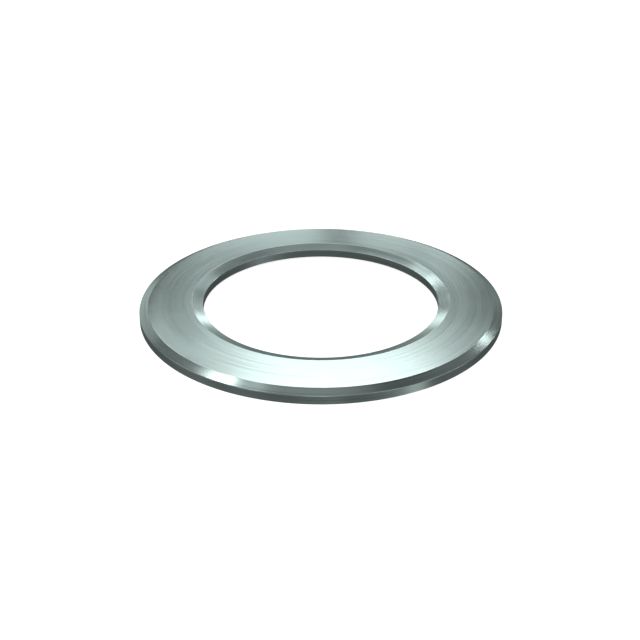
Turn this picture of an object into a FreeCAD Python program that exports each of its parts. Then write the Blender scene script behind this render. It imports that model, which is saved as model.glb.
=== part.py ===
"""Belleville washer: a shallow coned spring disc with bevelled upper edges, made as one piece.

The disc stands on its lower outer edge with the cone's crown up. The origin is on the axis of the
bore, in the plane that the disc rests on, and +Z points up through the crown. Lengths are in
millimetres and angles in degrees.
"""
import FreeCAD, Part
import math
import os

import Sketcher

NODE = "washer"

# Driving sizes. The ring's width runs along the radius from bore to rim, so the outside measures
# the bore and twice that width. The thickness is measured square to the coned faces, a bevel's
# width along the radius, and a bevel's angle from the coned upper face. Both walls are upright.
SIZES = {
    "bore_diameter": 39.0,
    "ring_width": 10.5,
    "thickness": 2.0,
    "cone_angle": 3.0,
    "rim_bevel_width": 1.4,
    "rim_bevel_angle": 22.0,
    "bore_bevel_width": 1.8,
    "bore_bevel_angle": 19.5,
    "edge_radius": 0.1,
}

# The most of an upright wall that the rounding at each of its ends may take up.
ROUNDED_SHARE = 0.4

# Formulas over the sheet of sizes. A bevel's drop is what it takes off the top of its wall.
BORE_RADIUS = "Sizes.bore_diameter / 2"
RIM_RADIUS = f"{BORE_RADIUS} + Sizes.ring_width"
CONE = "Sizes.cone_angle * 1 deg"
RIM_BEVEL = "Sizes.rim_bevel_angle * 1 deg"
BORE_BEVEL = "Sizes.bore_bevel_angle * 1 deg"
PLAIN_WALL = f"Sizes.thickness / cos({CONE})"
RIM_DROP = f"Sizes.rim_bevel_width * (tan({RIM_BEVEL} + {CONE}) - tan({CONE}))"
BORE_DROP = f"Sizes.bore_bevel_width * (tan({BORE_BEVEL} - {CONE}) + tan({CONE}))"

# How a sketch numbers its horizontal axis and the two ends of a line. The axis starts at the
# sketch's origin.
X_AXIS = -1
START = 1
END = 2


def make_sizes(doc):
    """The sheet of driving sizes, one named cell for each."""
    sheet = doc.addObject("Spreadsheet::Sheet", "Sizes")
    for row, (name, value) in enumerate(SIZES.items(), start=1):
        sheet.set(f"A{row}", name)
        sheet.set(f"B{row}", str(value))
        sheet.setAlias(f"B{row}", name)
    doc.recompute()
    return sheet


def rough_corners(sheet):
    """The section's corners near their final places, from the lower rim inwards and back."""
    bore = sheet.bore_diameter / 2
    rim = bore + sheet.ring_width
    thick = sheet.thickness
    foot = thick * 2 / 3
    rise = sheet.ring_width * math.tan(math.radians(sheet.cone_angle))
    return [
        FreeCAD.Vector(rim, 0, 0),
        FreeCAD.Vector(bore, rise, 0),
        FreeCAD.Vector(bore, rise + foot, 0),
        FreeCAD.Vector(bore + sheet.bore_bevel_width, rise + thick, 0),
        FreeCAD.Vector(rim - sheet.rim_bevel_width, thick, 0),
        FreeCAD.Vector(rim, foot, 0),
    ]


def tie(sketch, name, formula, kind, *where):
    """Adds a dimension to the sketch under a name, and ties it to the sheet of sizes."""
    value = sketch.evalExpression(formula)
    if kind == "Angle":
        value = value.getValueAs("rad")
    index = sketch.addConstraint(Sketcher.Constraint(kind, *where, float(value)))
    sketch.renameConstraint(index, name)
    sketch.setExpression(f"Constraints.{name}", formula)


def round_corner(sketch, name, line, drop):
    """Rounds the corner at a line's end, as far as a wall shortened by its bevel has room."""
    formula = f"min(Sizes.edge_radius; {ROUNDED_SHARE} * ({PLAIN_WALL} - {drop}))"
    sketch.fillet(line, END, float(sketch.evalExpression(formula)), True, False)
    arc = len(sketch.Geometry) - 1
    tie(sketch, name, formula, "Radius", arc)
    return arc


def draw_section(body, sheet):
    """The coned section: two upright walls, two parallel slopes and a bevel at each upper edge."""
    sketch = body.newObject("Sketcher::SketchObject", "Section")
    plane = next(item for item in body.Origin.OriginFeatures if item.Role == "XZ_Plane")
    sketch.AttachmentSupport = [(plane, "")]
    sketch.MapMode = "FlatFace"

    corners = rough_corners(sheet)
    for start, end in zip(corners, corners[1:] + corners[:1]):
        sketch.addGeometry(Part.LineSegment(start, end))
    lines = range(len(corners))
    underside, bore_wall, bore_bevel, upper_face, rim_bevel, rim_wall = lines

    for line in lines:
        following = (line + 1) % len(corners)
        sketch.addConstraint(Sketcher.Constraint("Coincident", line, END, following, START))
    for wall in (bore_wall, rim_wall):
        sketch.addConstraint(Sketcher.Constraint("Vertical", wall))
    sketch.addConstraint(Sketcher.Constraint("Parallel", underside, upper_face))

    tie(sketch, "rim_radius", RIM_RADIUS, "Distance", X_AXIS, START, rim_wall)
    tie(sketch, "bore_radius", BORE_RADIUS, "Distance", X_AXIS, START, bore_wall)
    tie(sketch, "thickness", "Sizes.thickness", "Distance", upper_face, END, underside)
    tie(sketch, "cone_angle", CONE, "Angle", underside, END, X_AXIS, START)
    tie(sketch, "rim_bevel_width", "Sizes.rim_bevel_width", "Distance", upper_face, END, rim_wall)
    tie(sketch, "bore_bevel_width", "Sizes.bore_bevel_width", "Distance", upper_face, START, bore_wall)
    tie(sketch, "rim_bevel_angle", f"180 deg - {RIM_BEVEL}", "Angle", upper_face, END, rim_bevel, START)
    tie(sketch, "bore_bevel_angle", f"180 deg - {BORE_BEVEL}", "Angle", bore_bevel, END, upper_face, START)

    round_corner(sketch, "rim_head_radius", rim_bevel, RIM_DROP)
    round_corner(sketch, "bore_head_radius", bore_wall, BORE_DROP)
    round_corner(sketch, "bore_foot_radius", underside, BORE_DROP)
    resting_edge = round_corner(sketch, "rim_foot_radius", rim_wall, RIM_DROP)
    sketch.addConstraint(Sketcher.Constraint("Tangent", resting_edge, X_AXIS))
    return sketch


def make_washer(doc, sheet):
    """The washer: its section turned once round the axis of the bore."""
    body = doc.addObject("PartDesign::Body", "Washer")
    body.Label = NODE
    sketch = draw_section(body, sheet)
    disc = body.newObject("PartDesign::Revolution", "Disc")
    disc.Profile = sketch
    disc.ReferenceAxis = (sketch, ["V_Axis"])
    disc.Angle = 360
    doc.recompute()
    if not sketch.FullyConstrained:
        raise RuntimeError("the section is not fully constrained")
    return body


def check(doc, body):
    """Stops if a feature has failed or the washer isn't one sound solid."""
    for item in doc.Objects:
        if {"Invalid", "Error"} & set(item.State):
            raise RuntimeError(f"{item.Name} has failed: {item.State}")
    shape = body.Shape
    if shape.isNull() or not shape.isValid() or len(shape.Solids) != 1:
        raise RuntimeError(f"{body.Label} is not one valid solid")


def main():
    doc = FreeCAD.newDocument("BellevilleWasher")
    sheet = make_sizes(doc)
    washer = make_washer(doc, sheet)
    check(doc, washer)
    os.makedirs("parts", exist_ok=True)
    washer.Shape.exportStep(f"parts/{washer.Label}.step")
    print(f"{washer.Label}: {washer.Shape.Volume:.1f} mm3")


main()
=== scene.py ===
"""The looks of a belleville washer: a coned spring disc of pale, finely turned steel.

The washer stands on its lower outer edge on a plain pale floor, with its crown up. Everything is in
metres in the model's own frame: the origin is on the axis of the bore, in the floor, and +Z is up.
An azimuth is in degrees from +X towards +Y, so 90 is straight behind the washer and -90 in front.
"""
import math

import bpy
import numpy as np
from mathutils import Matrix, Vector


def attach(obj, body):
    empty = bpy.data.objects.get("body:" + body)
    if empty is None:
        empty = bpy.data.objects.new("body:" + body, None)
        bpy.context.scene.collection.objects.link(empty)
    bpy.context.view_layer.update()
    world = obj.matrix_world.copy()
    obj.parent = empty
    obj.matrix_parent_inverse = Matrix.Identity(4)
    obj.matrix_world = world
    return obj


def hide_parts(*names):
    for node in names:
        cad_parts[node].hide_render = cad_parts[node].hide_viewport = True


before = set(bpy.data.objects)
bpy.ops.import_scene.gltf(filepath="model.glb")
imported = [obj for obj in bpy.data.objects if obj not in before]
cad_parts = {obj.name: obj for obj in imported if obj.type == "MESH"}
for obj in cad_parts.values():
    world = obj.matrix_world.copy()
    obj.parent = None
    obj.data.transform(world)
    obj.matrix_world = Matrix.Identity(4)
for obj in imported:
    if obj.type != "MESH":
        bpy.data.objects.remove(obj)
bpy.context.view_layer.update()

NODE = "washer"
BODY = "root"
MM = 0.001

# The camera: its azimuth and elevation as seen from the point that it looks at, its distance from
# that point, the point, the lens and the sensor in millimetres, and the nearest and furthest that
# it sees.
CAMERA_AZIMUTH = -90
CAMERA_ELEVATION = 28.07
CAMERA_DISTANCE = 205.87 * MM
CAMERA_TARGET = Vector((-0.142 * MM, 0, -2.015 * MM))
CAMERA_LENS = 68.97
CAMERA_SENSOR = 36
CAMERA_RANGE = (0.01, 20)

# How the section is read from the frame: rings nearer than SAME are one ring, a turn of less than
# STRAIGHT degrees doesn't end a side, and the sides longer than MAIN_SIDE are those between the
# corners, not steps of a corner's rounding. A side that ends within SHARP of a corner has it sharp.
SAME = 0.001 * MM
STRAIGHT = 2.0
MAIN_SIDE = 0.4 * MM
SHARP = 0.005 * MM

# The mesh: how many steps go round the washer, round one corner of its section and along one side,
# and the radius to which the finishing breaks a corner that the frame has sharp.
STEPS_ROUND = 720
STEPS_CORNER = 6
STEPS_SIDE = 4
BROKEN_RADIUS = 0.12 * MM

# A stretch of the section is a broad face up to FACE_TILT degrees off level, a bevel up to
# BEVEL_TILT, and a wall beyond.
FACE_TILT = 10
BEVEL_TILT = 40

# Pale steel with a faint cool green cast, which drifts a little between two shades, and its tint at
# a grazing look. Each kind of surface has its roughness and lightness, and the depth of its turned
# lines. The walls' lower lightness is painted shade: it darkens the rim and the bore as shade would.
STEEL_COOL = (0.535, 0.68, 0.662, 1)
STEEL_WARM = (0.555, 0.672, 0.645, 1)
STEEL_GRAZING = (0.92, 1.0, 0.98, 1)
ROUGHNESS = {"turned_face": 0.2, "bright_bevel": 0.165, "turned_rim": 0.36, "bored_wall": 0.42}
LIGHTNESS_AND_WALL_SHADE = {"turned_face": 1.0, "bright_bevel": 1.0, "turned_rim": 0.85, "bored_wall": 0.82}
LINE_DEPTH = {
    "turned_face": 0.00015 * MM,
    "bright_bevel": 0.0001 * MM,
    "turned_rim": 0.0003 * MM,
    "bored_wall": 0.0003 * MM,
}
# The rim is turned with a coarse feed, whose lines spread light up and down and not round the ring.
COARSELY_TURNED = "turned_rim"
SPREAD_UPRIGHT = 0.9
QUARTER_TURN = 0.25

# How often the marks change in a millimetre, across the turned lines and round the ring.
LINES = (2.2, 0.015)
BANDS = (0.7, 0.01)
HAIRLINES = (5.0, 0.05)
# How many finer sets of noise lie on top of the first one in each kind of mark, and how strong a
# finer set of turned lines is beside the set before it.
FINER_SETS = {"lines": 2, "bands": 1, "hairlines": 0, "smudges": 1}
FINER_LINES = 0.62
# The heights of the noise between which a hairline deepens, the size of a smudge, and how far a
# worn corner shows at most.
HAIRLINE_STEP = (0.68, 0.76)
SMUDGE = 7 * MM
WORN_WIDTH = 0.16 * MM

# How far the marks spread the roughness and the lightness, and how much the strongest hairline or
# wear changes them. Lines and hairlines leave the roughness alone.
BANDS_ROUGHEN = 0.05
SMUDGES_ROUGHEN = 0.06
WEAR_SMOOTHS = 0.05
LINES_SHADE = 0.24
BANDS_SHADE = 0.1
SMUDGES_SHADE = 0.08
HAIRLINES_DARKEN = 0.16
WEAR_BRIGHTENS = 0.2
# The depth of a hairline as a share of the turned lines' depth.
HAIRLINE_DEPTH = 0.3

# The lamps, all at one distance: azimuth, elevation, width and height in degrees as seen from the
# washer, and radiance.
LAMP_DISTANCE = 3.0
SOFTBOXES = {
    "back_high": (88, 52, 11, 24, 0.2),
    "back_wide": (89, 40, 14, 13, 2.2),
    "back_left_slim": (104.5, 34, 2, 6, 4.2),
    "back_left_wide": (117.5, 40, 20, 9, 1.6),
    "low_left": (94.5, 15.5, 9, 5, 1.7),
    "low_right": (84, 15.5, 7, 4, 2.2),
    "high_left": (152, 59.5, 8, 9, 5),
    "high_left_tall": (119.5, 59, 18, 28, 0.8),
    "right_spot": (53, 34, 6, 6, 7),
    "right_wide": (77, 34, 9, 9, 0.5),
    "left_wide": (124, 17, 31, 31, 0.25),
    "left_face": (98.5, 29.5, 2, 11, 1.3),
    "right_face": (81, 22, 2.5, 14.5, 0.5),
}
# The lamps that stand at each of the other azimuths, given as above but for an offset in azimuth.
OTHER_AZIMUTHS = (0, 180, 225, 270, 315)
OTHER_SOFTBOXES = {
    "main": (-1.5, 43, 13, 18, 1.9),
    "low": (-1, 15.5, 16, 4.5, 1.9),
    "wide": (0, 26, 40, 32, 0.3),
}
# The surroundings' radiance at a few elevations.
SURROUNDINGS = {-90: 0.085, -20: 0.085, -5: 0.17, 10: 0.29, 30: 0.06, 50: 0.17, 70: 0.1, 90: 0.34}
# Brighter patches low down, which the walls mirror as upright streaks: half the width in degrees
# and the radiance that each adds, by its azimuth. Downwards, they grow from nothing at the first of
# two heights to their full strength at the second, as heights on a ball of radius 1.
LOW_PATCHES = {334: (7, 2.3), 280: (5, 0.2), 188: (6, 0.2), 100: (7, 0.8)}
PATCH_HEIGHTS = (-0.38, -0.54)

# The floor: its radius, the steps round its edge, its colour's level, and the light of its own that
# it adds to what the lamps give it, like a lit table.
FLOOR_RADIUS = 6.0
FLOOR_STEPS = 128
FLOOR_WHITE = 0.9
FLOOR_GLOW = 0.85


def outline(node):
    """A round node's convex section as (radius, height) rows, in order round its middle."""
    places = np.array([vertex.co for vertex in node.data.vertices])
    rings = np.column_stack([np.hypot(places[:, 0], places[:, 1]), places[:, 2]])
    rings = np.unique(np.round(rings / SAME), axis=0) * SAME
    arms = rings - rings.mean(axis=0)
    return rings[np.argsort(np.arctan2(arms[:, 1], arms[:, 0]))]


def heading(start, end):
    """The direction from one point of the section to another, in degrees."""
    return math.degrees(math.atan2(end[1] - start[1], end[0] - start[0]))


def left_turn(first, second):
    """How far the second heading lies to the left of the first, in degrees."""
    return (second - first + 180) % 360 - 180


def main_sides(points):
    """The straight sides between the section's corners, each as its start and end."""
    behind, ahead = np.roll(points, 1, axis=0), np.roll(points, -1, axis=0)
    turns = [left_turn(heading(b, p), heading(p, a)) for b, p, a in zip(behind, points, ahead)]
    kept = points[np.abs(turns) > STRAIGHT]
    sides = zip(kept, np.roll(kept, -1, axis=0))
    return [(start, end) for start, end in sides if np.linalg.norm(end - start) > MAIN_SIDE]


def crossing(first, second):
    """Where the lines through two sides cross."""
    way, other = first[1] - first[0], second[1] - second[0]
    share = np.linalg.solve(np.column_stack([way, -other]), second[0] - first[0])[0]
    return first[0] + share * way


def corner_arc(side, following):
    """The points and normals of the rounding where two sides meet."""
    corner = crossing(side, following)
    start = heading(*side)
    bend = left_turn(start, heading(*following))
    half = math.tan(math.radians(bend / 2))
    cut_back = np.linalg.norm(corner - side[1])
    radius = cut_back / half if cut_back > SHARP else BROKEN_RADIUS
    along = np.array([math.cos(math.radians(start)), math.sin(math.radians(start))])
    centre = corner - radius * half * along + radius * np.array([-along[1], along[0]])
    angles = np.radians(start - 90 + bend * np.arange(STEPS_CORNER + 1) / STEPS_CORNER)
    normals = np.column_stack([np.cos(angles), np.sin(angles)])
    return centre + radius * normals, normals


def fine_section(node):
    """The section as rows of point, outward normal and distance along the side from a corner."""
    sides = main_sides(outline(node))
    arcs = [corner_arc(side, following) for side, following in zip(sides, sides[1:] + sides[:1])]
    points, normals, gaps = [], [], []
    for (arc, facing), (next_arc, _) in zip(arcs, arcs[1:] + arcs[:1]):
        points.extend(arc)
        normals.extend(facing)
        gaps.extend([0.0] * len(arc))
        length = np.linalg.norm(next_arc[0] - arc[-1])
        for share in np.arange(1, STEPS_SIDE) / STEPS_SIDE:
            points.append(arc[-1] + share * (next_arc[0] - arc[-1]))
            normals.append(facing[-1])
            gaps.append(min(share, 1 - share) * length)
    return np.array(points), np.array(normals), np.array(gaps)


def kind_of(normal):
    """Which material a stretch of the section has, by how far it leans from level."""
    tilt = math.degrees(math.acos(min(1.0, abs(normal[1]) / np.linalg.norm(normal))))
    if tilt < FACE_TILT:
        return "turned_face"
    if tilt < BEVEL_TILT:
        return "bright_bevel"
    return "turned_rim" if normal[0] > 0 else "bored_wall"


def revolved(radii, heights):
    """Rows of radius and height turned once round the axis, as a list of coordinates."""
    angles = np.arange(STEPS_ROUND) * 2 * math.pi / STEPS_ROUND
    x = np.cos(angles)[:, None] * radii
    y = np.sin(angles)[:, None] * radii
    z = np.broadcast_to(heights, x.shape)
    return np.stack([x, y, z], axis=-1).reshape(-1, 3).tolist()


def corner_values(mesh, name, starts, ends):
    """A number for each face's corners: one at the stretch's start and one at its end."""
    values = np.column_stack([starts, starts, ends, ends]).ravel()
    attribute = mesh.attributes.new(name, "FLOAT", "CORNER")
    attribute.data.foreach_set("value", np.tile(values, STEPS_ROUND).astype(np.float32))


def bake_map(mesh, starts, ends):
    """A map that unrolls the ring, so that a bake has most of its pixels across the turned lines."""
    left = np.repeat(np.arange(STEPS_ROUND) / STEPS_ROUND, len(starts))
    right = left + 1 / STEPS_ROUND
    across = np.column_stack([left, right, right, left]).ravel()
    upward = np.tile(np.column_stack([starts, starts, ends, ends]).ravel(), STEPS_ROUND)
    layer = mesh.uv_layers.new(name="OFBake")
    layer.uv.foreach_set("vector", np.column_stack([across, upward]).ravel().astype(np.float32))


def make_washer():
    """The washer's fine mesh, turned from the frame's own section. It stands for the CAD node."""
    points, normals, gaps = fine_section(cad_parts[NODE])
    count = len(points)
    faces = []
    for step in range(STEPS_ROUND):
        row, next_row = step * count, (step + 1) % STEPS_ROUND * count
        for start in range(count):
            end = (start + 1) % count
            faces.append((row + start, next_row + start, next_row + end, row + end))
    mesh = bpy.data.meshes.new("turned_washer")
    mesh.from_pydata(revolved(points[:, 0], points[:, 1]), [], faces)

    lengths = np.linalg.norm(np.roll(points, -1, axis=0) - points, axis=1)
    travelled = np.concatenate([[0], np.cumsum(lengths)])
    corner_values(mesh, "along", travelled[:-1], travelled[1:])
    corner_values(mesh, "from_corner", gaps, np.roll(gaps, -1))
    bake_map(mesh, travelled[:-1] / travelled[-1], travelled[1:] / travelled[-1])

    kinds = [kind_of(normals[index] + normals[(index + 1) % count]) for index in range(count)]
    for kind in ROUGHNESS:
        mesh.materials.append(steel(kind))
    slots = np.tile([list(ROUGHNESS).index(kind) for kind in kinds], STEPS_ROUND)
    mesh.polygons.foreach_set("material_index", slots.astype(np.int32))

    mesh.shade_smooth()
    mesh.normals_split_custom_set_from_vertices(revolved(normals[:, 0], normals[:, 1]))
    mesh.update()

    piece = bpy.data.objects.new("turned_washer", mesh)
    bpy.context.scene.collection.objects.link(piece)
    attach(piece, BODY)
    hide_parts(NODE)


def add(material, kind, inputs, **settings):
    """A node of a material or a world, with its settings made and its inputs set or linked."""
    tree = material.node_tree
    node = tree.nodes.new("ShaderNode" + kind)
    for name, value in settings.items():
        setattr(node, name, value)
    for name, value in inputs.items():
        if isinstance(value, bpy.types.NodeSocket):
            tree.links.new(value, node.inputs[name])
        else:
            node.inputs[name].default_value = value
    return node


def maths(material, operation, *values):
    """The result of a sum, a product or the like, of numbers and of other nodes' results."""
    return add(material, "Math", dict(enumerate(values)), operation=operation).outputs["Value"]


def stepped(material, value, low, high):
    """A soft step: 0 where the value is at low, 1 where it is at high."""
    inputs = {"Value": value, "From Min": low, "From Max": high}
    return add(material, "MapRange", inputs, interpolation_type="SMOOTHSTEP").outputs["Result"]


def noise(material, place, finer_sets, finer_strength=0.5):
    """Soft noise about 0.5 at a place that is already scaled, with finer sets of it on top."""
    inputs = {"Vector": place, "Scale": 1.0, "Detail": finer_sets, "Roughness": finer_strength}
    return add(material, "TexNoise", inputs).outputs["Fac"]


def lap_place(material, along, split, across, round_the_ring):
    """A place that changes quickly across the turned lines and slowly round the ring."""
    return add(material, "CombineXYZ", {
        "X": maths(material, "MULTIPLY", along, across / MM),
        "Y": maths(material, "MULTIPLY", split.outputs["X"], round_the_ring / MM),
        "Z": maths(material, "MULTIPLY", split.outputs["Y"], round_the_ring / MM),
    }).outputs["Vector"]


def spread(material, middle, *parts):
    """A middle value plus each part's noise, given as the noise and how far it reaches."""
    total = middle
    for texture, reach in parts:
        lowered = maths(material, "ADD", total, -reach / 2)
        total = maths(material, "MULTIPLY_ADD", texture, reach, lowered)
    return total


def steel(kind):
    """The steel of one kind of surface, with its turned lines, smudges, hairlines and worn edges."""
    material = bpy.data.materials.new(kind)
    material.use_nodes = True
    shader = material.node_tree.nodes["Principled BSDF"]
    shader.inputs["Metallic"].default_value = 1.0
    shader.inputs["Specular Tint"].default_value = STEEL_GRAZING
    if kind == COARSELY_TURNED:
        shader.inputs["Anisotropic"].default_value = SPREAD_UPRIGHT
        shader.inputs["Anisotropic Rotation"].default_value = QUARTER_TURN
        round_the_bore = add(material, "Tangent", {}, direction_type="RADIAL", axis="Z")
        material.node_tree.links.new(round_the_bore.outputs["Tangent"], shader.inputs["Tangent"])

    place = add(material, "TexCoord", {}).outputs["Object"]
    split = add(material, "SeparateXYZ", {"Vector": place})
    along = add(material, "Attribute", {}, attribute_name="along").outputs["Fac"]
    from_corner = add(material, "Attribute", {}, attribute_name="from_corner").outputs["Fac"]

    lines = noise(material, lap_place(material, along, split, *LINES), FINER_SETS["lines"], FINER_LINES)
    bands = noise(material, lap_place(material, along, split, *BANDS), FINER_SETS["bands"])
    scored = noise(material, lap_place(material, along, split, *HAIRLINES), FINER_SETS["hairlines"])
    hairlines = stepped(material, scored, *HAIRLINE_STEP)
    scaled = add(material, "VectorMath", {"Vector": place, "Scale": 1 / SMUDGE}, operation="SCALE")
    smudges = noise(material, scaled.outputs["Vector"], FINER_SETS["smudges"])

    ragged = spread(material, from_corner, (lines, WORN_WIDTH))
    worn = maths(material, "MULTIPLY", stepped(material, ragged, WORN_WIDTH, 0), smudges)

    roughness = spread(material, ROUGHNESS[kind], (bands, BANDS_ROUGHEN), (smudges, SMUDGES_ROUGHEN))
    roughness = maths(material, "MULTIPLY_ADD", worn, -WEAR_SMOOTHS, roughness)
    material.node_tree.links.new(roughness, shader.inputs["Roughness"])

    shades = (lines, LINES_SHADE), (bands, BANDS_SHADE), (smudges, SMUDGES_SHADE)
    # The walls' lower lightness is painted shade, which darkens them as the shade on them would.
    light = spread(material, LIGHTNESS_AND_WALL_SHADE[kind], *shades)
    light = maths(material, "MULTIPLY_ADD", hairlines, -HAIRLINES_DARKEN, light)
    light = maths(material, "MULTIPLY_ADD", worn, WEAR_BRIGHTENS, light)
    tinted = add(material, "MixRGB", {"Fac": smudges, "Color1": STEEL_COOL, "Color2": STEEL_WARM})
    shaded = {"Vector": tinted.outputs["Color"], "Scale": light}
    colour = add(material, "VectorMath", shaded, operation="SCALE")
    material.node_tree.links.new(colour.outputs["Vector"], shader.inputs["Base Color"])

    height = maths(material, "MULTIPLY_ADD", hairlines, -HAIRLINE_DEPTH, lines)
    bump = add(material, "Bump", {"Height": height, "Distance": LINE_DEPTH[kind]})
    material.node_tree.links.new(bump.outputs["Normal"], shader.inputs["Normal"])
    return material


def away(azimuth, elevation):
    """The unit vector that points that way from the washer."""
    flat, up = math.cos(math.radians(elevation)), math.sin(math.radians(elevation))
    return Vector((flat * math.cos(math.radians(azimuth)), flat * math.sin(math.radians(azimuth)), up))


def set_up(name, data, location, back):
    """A lamp or camera at a place, with its back in the direction of the given vector."""
    holder = bpy.data.objects.new(name, data)
    holder.location = location
    holder.rotation_mode = "QUATERNION"
    holder.rotation_quaternion = (-back).to_track_quat("-Z", "Y")
    bpy.context.scene.collection.objects.link(holder)
    return holder


def make_softbox(name, azimuth, elevation, width, height, radiance):
    """A rectangular lamp that faces the washer and looks as wide, high and bright from it as given."""
    lamp = bpy.data.lights.new(name, "AREA")
    lamp.shape = "RECTANGLE"
    lamp.size = 2 * LAMP_DISTANCE * math.tan(math.radians(width / 2))
    lamp.size_y = 2 * LAMP_DISTANCE * math.tan(math.radians(height / 2))
    lamp.energy = radiance * math.pi * lamp.size * lamp.size_y
    back = away(azimuth, elevation)
    set_up(name, lamp, LAMP_DISTANCE * back, back)


def grey(level):
    """A neutral colour."""
    return (level, level, level, 1)


def make_surroundings():
    """A soft grey studio with brighter patches low down, and a white ground for the camera alone."""
    world = bpy.data.worlds.new("studio")
    bpy.context.scene.world = world
    world.use_nodes = True
    direction = add(world, "TexCoord", {}).outputs["Generated"]
    split = add(world, "SeparateXYZ", {"Vector": direction})
    upward_share = maths(world, "MULTIPLY_ADD", split.outputs["Z"], 0.5, 0.5)
    ramp = add(world, "ValToRGB", {"Fac": upward_share})
    stops = ramp.color_ramp.elements
    lowest, *between, highest = SURROUNDINGS.items()
    stops[0].color = grey(lowest[1])
    stops[1].color = grey(highest[1])
    for elevation, radiance in between:
        stops.new((math.sin(math.radians(elevation)) + 1) / 2).color = grey(radiance)

    light = ramp.outputs["Color"]
    flat = add(world, "CombineXYZ", {"X": split.outputs["X"], "Y": split.outputs["Y"]})
    flat_way = add(world, "VectorMath", {"Vector": flat.outputs["Vector"]}, operation="NORMALIZE")
    low_down = stepped(world, split.outputs["Z"], *PATCH_HEIGHTS)
    for azimuth, (half_width, radiance) in LOW_PATCHES.items():
        ways = {0: flat_way.outputs["Vector"], 1: away(azimuth, 0)}
        facing = add(world, "VectorMath", ways, operation="DOT_PRODUCT").outputs["Value"]
        patch = stepped(world, facing, math.cos(math.radians(half_width)), 1)
        light = maths(world, "MULTIPLY_ADD", maths(world, "MULTIPLY", patch, low_down), radiance, light)

    seen = add(world, "LightPath", {}).outputs["Is Camera Ray"]
    choice = add(world, "MixRGB", {"Fac": seen, "Color1": light, "Color2": grey(1)})
    background = world.node_tree.nodes["Background"]
    world.node_tree.links.new(choice.outputs["Color"], background.inputs["Color"])


def make_floor():
    """A plain pale floor with a glow of its own, which the steel doesn't reflect."""
    bpy.ops.mesh.primitive_circle_add(vertices=FLOOR_STEPS, radius=FLOOR_RADIUS, fill_type="NGON")
    floor = bpy.context.object
    floor.name = "floor"
    floor.visible_glossy = False
    material = bpy.data.materials.new("pale_floor")
    material.use_nodes = True
    shader = material.node_tree.nodes["Principled BSDF"]
    shader.inputs["Base Color"].default_value = grey(FLOOR_WHITE)
    shader.inputs["Roughness"].default_value = 1
    shader.inputs["Specular IOR Level"].default_value = 0
    shader.inputs["Emission Color"].default_value = grey(1)
    shader.inputs["Emission Strength"].default_value = FLOOR_GLOW
    material.cycles.emission_sampling = "NONE"
    floor.data.materials.append(material)


def make_camera():
    """The camera, in front of the washer and above it."""
    data = bpy.data.cameras.new("camera")
    data.lens = CAMERA_LENS
    data.sensor_width = CAMERA_SENSOR
    data.clip_start, data.clip_end = CAMERA_RANGE
    back = away(CAMERA_AZIMUTH, CAMERA_ELEVATION)
    bpy.context.scene.camera = set_up("camera", data, CAMERA_TARGET + CAMERA_DISTANCE * back, back)


make_washer()
for name, facts in SOFTBOXES.items():
    make_softbox(name, *facts)
for azimuth in OTHER_AZIMUTHS:
    for name, (offset, *facts) in OTHER_SOFTBOXES.items():
        make_softbox(f"{name}_{azimuth}", azimuth + offset, *facts)
make_surroundings()
make_floor()
make_camera()
bpy.context.scene.view_settings.view_transform = "Standard"
